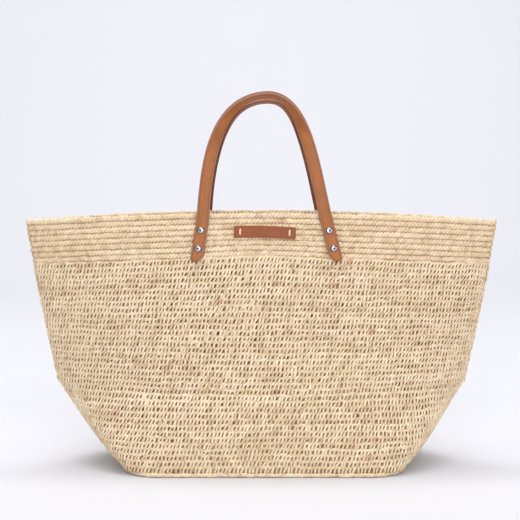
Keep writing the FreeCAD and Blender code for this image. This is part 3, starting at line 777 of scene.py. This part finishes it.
def label():
    """The blank label: a thin patch that follows the wall, with rounded corners and soft edges."""
    columns, rows = 72, 18
    corner, edge_softness, edge_colour = 0.0014, 0.0004, 0.0006
    tops, bottoms, hides = [], [], []
    for j in range(rows + 1):
        for i in range(columns + 1):
            u = LABEL_LENGTH * (math.sin(math.pi * (i / columns - 0.5)) / 2)
            v = LABEL_WIDTH * (math.sin(math.pi * (j / rows - 0.5)) / 2)
            over = max(0.0, abs(v) - (LABEL_WIDTH / 2 - corner))
            reach = LABEL_LENGTH / 2 - corner + math.sqrt(max(0.0, corner**2 - over**2))
            u = max(-reach, min(reach, u))
            edge = min(LABEL_WIDTH / 2 - abs(v), reach - abs(u))
            soft = 1 - math.exp(-edge / edge_softness)
            thick = LABEL_THICKNESS * (0.55 + 0.45 * soft)
            tops.append(label_point(u, v, LABEL_GAP + thick))
            bottoms.append(label_point(u, v, LABEL_GAP))
            hides.append((v / (LABEL_WIDTH / 2) * 0.9, u, 1.0 - min(1.0, edge / edge_colour)))
    points = np.array(tops + bottoms)
    index = np.arange(len(tops)).reshape(rows + 1, columns + 1)
    top = np.stack([index[:-1, :-1], index[:-1, 1:], index[1:, 1:], index[1:, :-1]], -1).reshape(-1, 4)
    bottom = top[:, ::-1] + len(tops)
    rim = np.concatenate([index[0, :-1], index[:-1, -1], index[-1, :0:-1], index[:0:-1, 0]])
    after = np.roll(rim, -1)
    walls = np.stack([rim, rim + len(tops), after + len(tops), after], -1)
    patch = mesh_object("label", points, [np.concatenate([top, bottom, walls])], None,
                        {"hide": np.array(hides + hides)})
    finish_piece(patch, "label_leather", "leather", "label_patch")


def stitches():
    """Two thick thread stitches of two plies, which hold the label."""
    for name, side in SIGN.items():
        share = np.linspace(0, 1, 25)
        v = (share - 0.5) * THREAD_LENGTH
        lift = LABEL_GAP + LABEL_THICKNESS - THREAD_SINK + THREAD_RISE * np.sin(np.pi * share) ** 0.5
        core = np.array([label_point(side * THREAD_PLACE, a, b) for a, b in zip(v, lift)])
        along = unit(np.gradient(core, axis=0))
        across = unit(np.cross(along, [0, -1, 0]))
        out = np.cross(across, along)
        strands = Strands(f"label_thread_{name}", 2)
        for ply in (0, np.pi):
            turn = (share * 5.5 * np.pi + ply)[:, None]
            centres = core + (across * np.cos(turn) + out * np.sin(turn)) * PLY_RADIUS
            dye = np.full((1, 1, 1, 3), 0.5)
            strands.add(centres[None], (across * PLY_HALF_WIDTH)[None], (out * PLY_HALF_DEPTH)[None],
                        dye, 8, False)
        finish_piece(strands.build(), "thread", "thread", f"label_stitch_{name}")


def rivet(name, base, across, outward, up):
    """A domed cap of mirror-bright metal on the strap, with a rolled edge."""
    angle = np.linspace(0, np.pi / 2, 14)
    radius = CAP_RADIUS * np.concatenate([[0.90, 0.97, 1.0], np.cos(angle) ** 0.8 * 0.985])
    height = CAP_HEIGHT * np.concatenate([[0.0, 0.06, 0.16], 0.20 + 0.80 * np.sin(angle)])
    radius = np.maximum(radius, 0.00002)
    sides = 48
    turn = np.arange(sides) * 2 * np.pi / sides
    ring = across * np.cos(turn)[:, None] + up * np.sin(turn)[:, None]
    points = base + ring[None] * radius[:, None, None] + outward * height[:, None, None]
    rings = len(radius)
    top = np.arange(sides)[None] + (rings - 1) * sides
    # Each point's share of the cap's radius, which places the painted reflection of a darker room.
    painted_reflection_radii = np.zeros((rings, sides, 3))
    painted_reflection_radii[..., 0] = (radius / CAP_RADIUS)[:, None]
    cap = mesh_object(name, points.reshape(-1, 3), [tube_quads(rings, sides), top], None,
                      {"polish": painted_reflection_radii.reshape(-1, 3)})
    finish_piece(cap, "rivet_cap", "rivet_metal", name.replace("cap", "rivet"))


def rivets():
    """Two caps on each riveted strap end, front and back."""
    mirror = np.array([1, -1, 1])
    for side in SIGN:
        origin, across, inward, up = strap_end_frame(side)
        strap_face = origin - inward * (STRAP_GAP + STRAP_THICKNESS - CAP_SINK)
        for level, below in (("upper", RIVET_TOP), ("lower", RIVET_TOP + RIVET_PITCH)):
            base = strap_face + up * (STRAP_END / 2 - below)
            rivet(f"front_{side}_{level}_cap", base, across, -inward, up)
            rivet(f"back_{side}_{level}_cap", base * mirror + back_offset(), -across * mirror,
                  -inward * mirror, up * mirror)


# ---- materials ----


class Nodes:
    """The shader nodes of one material."""

    def __init__(self, name):
        self.material = bpy.data.materials.new(name)
        self.material.use_nodes = True
        self.tree = self.material.node_tree
        self.shader = self.tree.nodes["Principled BSDF"]

    def new(self, kind):
        """A new shader node of this kind."""
        return self.tree.nodes.new("ShaderNode" + kind)

    def put(self, node, socket, value):
        """Links a value that comes from a node, and sets any other."""
        if isinstance(value, bpy.types.NodeSocket):
            self.tree.links.new(value, node.inputs[socket])
        else:
            node.inputs[socket].default_value = value

    def attribute(self, name):
        """A vector that the mesh carries at each point."""
        node = self.new("Attribute")
        node.attribute_name = name
        return node.outputs["Vector"]

    def split(self, vector):
        """The three parts of a vector."""
        node = self.new("SeparateXYZ")
        self.put(node, 0, vector)
        return node.outputs

    def join(self, x, y, z):
        """A vector of three values."""
        node = self.new("CombineXYZ")
        for i, value in enumerate((x, y, z)):
            self.put(node, i, value)
        return node.outputs[0]

    def math(self, operation, a, b=0.0):
        """One sum, product or other operation on two values."""
        node = self.new("Math")
        node.operation = operation
        self.put(node, 0, a)
        self.put(node, 1, b)
        return node.outputs[0]

    def scaled(self, vector, scale):
        """The vector times scale, part by part."""
        node = self.new("Mapping")
        self.put(node, "Vector", vector)
        self.put(node, "Scale", scale)
        return node.outputs[0]

    def noise(self, vector, scale, detail=2.0, rough=0.5):
        """Smooth noise from 0 to 1."""
        node = self.new("TexNoise")
        self.put(node, "Vector", vector)
        self.put(node, "Scale", scale)
        self.put(node, "Detail", detail)
        self.put(node, "Roughness", rough)
        return node.outputs["Fac"]

    def cells(self, vector, scale):
        """Distance to the nearest of scattered points, for a grain."""
        node = self.new("TexVoronoi")
        self.put(node, "Vector", vector)
        self.put(node, "Scale", scale)
        return node.outputs["Distance"]

    def ramp(self, value, stops):
        """Colours or greys between stops of (place, colour)."""
        node = self.new("ValToRGB")
        self.put(node, 0, value)
        elements = node.color_ramp.elements
        while len(elements) < len(stops):
            elements.new(0.5)
        for element, (place, colour) in zip(elements, stops):
            element.position = place
            element.color = (*colour, 1.0)
        return node.outputs[0]

    def mix(self, share, a, b, kind="MIX"):
        """Two colours mixed by share, or blended in another kind of way."""
        node = self.new("Mix")
        node.data_type = "RGBA"
        node.blend_type = kind
        for socket, value in ((0, share), (6, a), (7, b)):
            if isinstance(value, tuple):
                value = (*value, 1.0)
            self.put(node, socket, value)
        return node.outputs[2]

    def times(self, a, b):
        """Two colours multiplied."""
        return self.mix(1.0, a, b, "MULTIPLY")

    def place(self):
        """The point's own place in its object."""
        return self.new("TexCoord").outputs["Object"]

    def bump(self, height, strength, distance):
        """Bumps in the surface where height changes."""
        node = self.new("Bump")
        self.put(node, "Strength", strength)
        self.put(node, "Distance", distance)
        self.put(node, "Height", height)
        self.put(self.shader, "Normal", node.outputs[0])

    def rough(self, value, low, high):
        """Roughness from low to high as value goes from 0 to 1."""
        span = self.math("MULTIPLY", value, high - low)
        self.put(self.shader, "Roughness", self.math("ADD", span, low))

    def finish(self, colour, wear, roughness, height, strength, distance):
        """The material with its colour, its roughness as wear goes from 0 to 1, and its bumps."""
        self.put(self.shader, "Base Color", colour)
        self.rough(wear, *roughness)
        self.bump(height, strength, distance)
        return self.material


def raffia_material():
    """Dry straw with a fibre grain. Each point carries its tint, its blush and its painted shade, which
    darkens the inner layers and the valleys between stitches.
    """
    n = Nodes("raffia")
    tint, blush, shade = n.split(n.attribute("dye"))
    fibre = n.noise(n.scaled(n.attribute("fibre"), (9.0, 9.0, 90.0)), 1.0, 3.0, 0.6)
    mottle = n.noise(n.place(), 60.0, 3.0, 0.55)
    straw = n.ramp(tint, [(0.0, STRAW_DARK), (0.45, STRAW), (1.0, STRAW_PALE)])
    straw = n.mix(blush, straw, STRAW_PINK)
    streaks = n.ramp(fibre, [(0.25, (0.80, 0.76, 0.70)), (0.50, (1.0, 1.0, 1.0)), (0.8, (1.06, 1.06, 1.06))])
    straw = n.times(straw, streaks)
    blotch = n.ramp(mottle, [(0.30, (0.90, 0.87, 0.82)), (0.55, (1.0, 1.0, 1.0))])
    straw = n.times(straw, blotch)
    # Painted shade: darker straw on the inner layers and in the valleys between stitches.
    straw = n.mix(n.math("MULTIPLY", shade, 0.80), straw, n.times(straw, STRAW_SHADED))
    n.put(n.shader, "Specular IOR Level", 0.4)
    return n.finish(straw, fibre, (0.42, 0.68), fibre, 0.55, 0.0006)


def leather_material(name, centre, edge):
    """Smooth leather. hide holds each point's place across, along and through the piece, as shares
    of half its width and thickness, with the length in metres."""
    n = Nodes(name)
    across, along, through = n.split(n.attribute("hide"))
    place = n.place()
    grain = n.cells(place, 1500.0)
    clouds = n.noise(place, 45.0, 4.0, 0.6)
    wide = n.math("ABSOLUTE", across)
    streak = n.noise(n.join(n.math("MULTIPLY", across, 9.0), n.math("MULTIPLY", along, 26.0), through),
                     1.0, 3.0, 0.6)
    body = n.ramp(clouds, [(0.25, tuple(c * 0.80 for c in centre)), (0.5, centre),
                           (0.8, tuple(min(1.0, c * 1.25) for c in centre))])
    body = n.times(body, n.ramp(streak, [(0.3, (0.82, 0.80, 0.78)), (0.6, (1.08, 1.08, 1.08))]))
    colour = n.mix(n.ramp(wide, [(0.50, (0, 0, 0)), (0.92, (1, 1, 1))]), body, edge)
    # The pressed line beside each edge is painted darker, as shade in the crease.
    crease = n.ramp(wide, [(0.62, (1, 1, 1)), (0.70, (0.50, 0.45, 0.42)), (0.78, (1, 1, 1))])
    colour = n.times(colour, crease)
    # The inner face is painted darker: partly the leather's own darker inner side, partly painted shade.
    inward = n.math("MULTIPLY", through, -1.0)
    inner_side = n.ramp(inward, [(0.10, (0, 0, 0)), (0.60, (1, 1, 1))])
    colour = n.mix(inner_side, colour, n.times(colour, (0.74, 0.64, 0.58)))
    # Painted shadow on the inner half of both edges: the dark line between the two straps.
    lowest = n.ramp(inward, [(0.30, (0, 0, 0)), (0.60, (1, 1, 1))])
    at_edge = n.ramp(wide, [(0.84, (0, 0, 0)), (0.90, (1, 1, 1))])
    painted_edge_shadow = n.times(lowest, at_edge)
    colour = n.mix(painted_edge_shadow, colour, n.times(colour, (0.42, 0.34, 0.30)))
    n.put(n.shader, "Specular IOR Level", 0.28)
    height = n.math("ADD", n.math("MULTIPLY", grain, 0.6), n.math("MULTIPLY", streak, 0.5))
    return n.finish(colour, clouds, (0.38, 0.60), height, 0.30, 0.0004)


def plain_leather_material():
    """For CAD nodes, which carry no strap coordinates."""
    n = Nodes("inner_leather")
    place = n.place()
    grain = n.cells(place, 1400.0)
    clouds = n.noise(place, 60.0, 4.0, 0.6)
    colour = n.ramp(clouds, [(0.3, (0.24, 0.085, 0.036)), (0.7, (0.40, 0.155, 0.07))])
    return n.finish(colour, clouds, (0.42, 0.62), grain, 0.35, 0.0003)


def metal_material():
    """For the inner caps, which are the CAD's own."""
    n = Nodes("rivet_metal")
    wear = n.noise(n.place(), 900.0, 4.0, 0.6)
    colour = n.ramp(wear, [(0.3, (0.66, 0.66, 0.68)), (0.6, (0.82, 0.82, 0.84))])
    n.put(n.shader, "Metallic", 1.0)
    return n.finish(colour, wear, (0.10, 0.26), wear, 0.10, 0.0001)


def rivet_cap_material():
    """Polished metal, painted dark at its middle and its edge as if it mirrored a darker room."""
    n = Nodes("rivet_cap")
    from_middle = n.split(n.attribute("polish"))[0]
    wear = n.noise(n.place(), 900.0, 4.0, 0.6)
    mirrored = n.ramp(from_middle, [(0.26, (0.02, 0.02, 0.03)), (0.46, (0.62, 0.62, 0.66)),
                                    (0.68, (0.58, 0.58, 0.62)), (0.88, (0.12, 0.12, 0.13))])
    worn = n.ramp(wear, [(0.3, (0.88, 0.88, 0.88)), (0.6, (1.0, 1.0, 1.0))])
    n.put(n.shader, "Metallic", 1.0)
    return n.finish(n.times(mirrored, worn), wear, (0.12, 0.24), wear, 0.08, 0.0001)


def thread_material():
    """Pale twisted thread."""
    n = Nodes("thread")
    fibre = n.noise(n.scaled(n.attribute("fibre"), (8.0, 8.0, 600.0)), 1.0, 3.0, 0.6)
    colour = n.ramp(fibre, [(0.3, (0.74, 0.52, 0.42)), (0.7, (0.95, 0.78, 0.68))])
    return n.finish(colour, fibre, (0.5, 0.7), fibre, 0.4, 0.0002)


def floor_material():
    """Pale paper, lit evenly: far from the lamps it glows as much as they light it near the basket."""
    n = Nodes("studio_paper")
    place = n.place()
    grain = n.noise(place, 700.0, 3.0, 0.5)
    paper = n.ramp(grain, [(0.3, FLOOR_LOW), (0.7, FLOOR_HIGH)])
    lit_middle_y, reach = 1.5, 10.0
    far_x, far_y, _ = n.split(place)
    far_y = n.math("SUBTRACT", far_y, lit_middle_y)
    away = n.math("SQRT", n.math("ADD", n.math("MULTIPLY", far_x, far_x), n.math("MULTIPLY", far_y, far_y)))
    glow = n.ramp(n.math("DIVIDE", away, reach), [(0.34, (0, 0, 0)), (0.52, (0.52, 0.52, 0.545))])
    n.put(n.shader, "Emission Color", glow)
    n.put(n.shader, "Emission Strength", 1.0)
    return n.finish(paper, grain, (0.85, 0.95), grain, 0.03, 0.0002)


def surround_material():
    """A glow of one pale colour, for the shell beyond the floor."""
    n = Nodes("surround")
    clouds = n.noise(n.place(), 0.2, 1.0, 0.5)
    glow = n.ramp(clouds, [(0.3, tuple(0.98 * c for c in SURROUND)), (0.7, SURROUND)])
    n.put(n.shader, "Base Color", (0.0, 0.0, 0.0, 1.0))
    n.put(n.shader, "Emission Color", glow)
    n.put(n.shader, "Emission Strength", 1.0)
    n.rough(clouds, 0.9, 1.0)
    return n.material


MATERIALS = {
    "raffia": raffia_material(),
    "leather": leather_material("leather", COGNAC, COGNAC_EDGE),
    "label_leather": leather_material("label_leather", LABEL_BROWN, LABEL_EDGE),
    "inner_leather": plain_leather_material(),
    "rivet_metal": metal_material(),
    "rivet_cap": rivet_cap_material(),
    "thread": thread_material(),
}


def dress_cad_nodes():
    """Materials for the CAD nodes that stay in sight."""
    for name, node in frame["nodes"].items():
        if node.hide_render:
            continue
        kind = "inner_leather" if name.endswith("backing") else "rivet_metal"
        node.data.materials.clear()
        node.data.materials.append(MATERIALS[kind])
        node.data.shade_smooth()


# ---- studio ----


def studio_floor():
    """A pale floor that bends up into a backdrop."""
    front, bend_start, bend, top, half_across, below = -7.0, 1.9, 1.2, 6.0, 8.0, 0.0002
    steps = 24
    profile = [(front, 0.0), (0.0, 0.0), (bend_start, 0.0)]
    for i in range(1, steps + 1):
        angle = math.pi / 2 * i / steps
        profile.append((bend_start + bend * math.sin(angle), bend * (1 - math.cos(angle))))
    profile.append((bend_start + bend, top))
    points = [(x, y, z - below) for y, z in profile for x in (-half_across, half_across)]
    quads = np.array([[2 * i, 2 * i + 1, 2 * i + 3, 2 * i + 2] for i in range(len(profile) - 1)])
    floor = mesh_object("studio_floor", np.array(points), [quads])
    floor.data.materials.append(floor_material())


def studio_surround():
    """A pale shell beyond the floor's edges. It is only seen: it lights nothing and casts no shadow."""
    radius, sides, rings = 30, 48, 12
    a, c = np.meshgrid(np.arange(sides) * 2 * np.pi / sides, np.linspace(-0.15, 1.45, rings))
    points = radius * np.stack([np.cos(a) * np.cos(c), np.sin(a) * np.cos(c), np.sin(c)], -1)
    shell = mesh_object("studio_surround", points.reshape(-1, 3), [tube_quads(rings, sides)])
    shell.data.materials.append(surround_material())
    for ray in ("diffuse", "glossy", "transmission", "shadow"):
        setattr(shell, f"visible_{ray}", False)


def area_light(name, place, aim, size, power):
    """A rectangular lamp that the camera doesn't see."""
    light = bpy.data.lights.new(name, "AREA")
    light.shape = "RECTANGLE"
    light.size, light.size_y = size
    light.energy = power
    lamp = bpy.data.objects.new(name, light)
    lamp.location = place
    lamp.visible_camera = False
    lamp.rotation_euler = (Vector(aim) - Vector(place)).to_track_quat("-Z", "Y").to_euler()
    bpy.context.scene.collection.objects.link(lamp)


def studio_light():
    """Soft even light from above and from the front, a lit backdrop and a pale sky."""
    area_light("overhead_softbox", (-0.2, -0.1, 2.6), (0, 0, 0.1), (1.8, 1.4), 31)
    area_light("front_softbox", (0.1, -3.4, 1.7), (0, 0, 0.2), (2.6, 2.0), 76)
    area_light("side_fill", (2.6, -2.4, 1.2), (0, 0, 0.2), (1.6, 1.6), 10)
    area_light("backdrop_light", (0, 0.9, 3.4), (0, 3.1, 0.6), (3.6, 1.2), 70)
    world = bpy.data.worlds.new("studio")
    world.use_nodes = True
    background = world.node_tree.nodes["Background"]
    background.inputs["Color"].default_value = (0.95, 0.96, 1.0, 1.0)
    background.inputs["Strength"].default_value = 0.45
    bpy.context.scene.world = world
    bpy.context.scene.view_settings.view_transform = "Standard"


def camera():
    """A long lens in front of the basket, above its rim, looking slightly down."""
    lens = bpy.data.cameras.new("camera")
    lens.sensor_width = 36.0
    lens.lens = 97.87
    eye = bpy.data.objects.new("camera", lens)
    eye.location = (-0.0018, -1.8, 0.416)
    dip = 4.98
    eye.rotation_euler = (math.radians(90 - dip), 0, 0)
    bpy.context.scene.collection.objects.link(eye)
    bpy.context.scene.camera = eye


open_rounds()
band_rounds()
base_rounds()
turning_round()
straps()
label()
stitches()
rivets()
dress_cad_nodes()
studio_floor()
studio_surround()
studio_light()
camera()
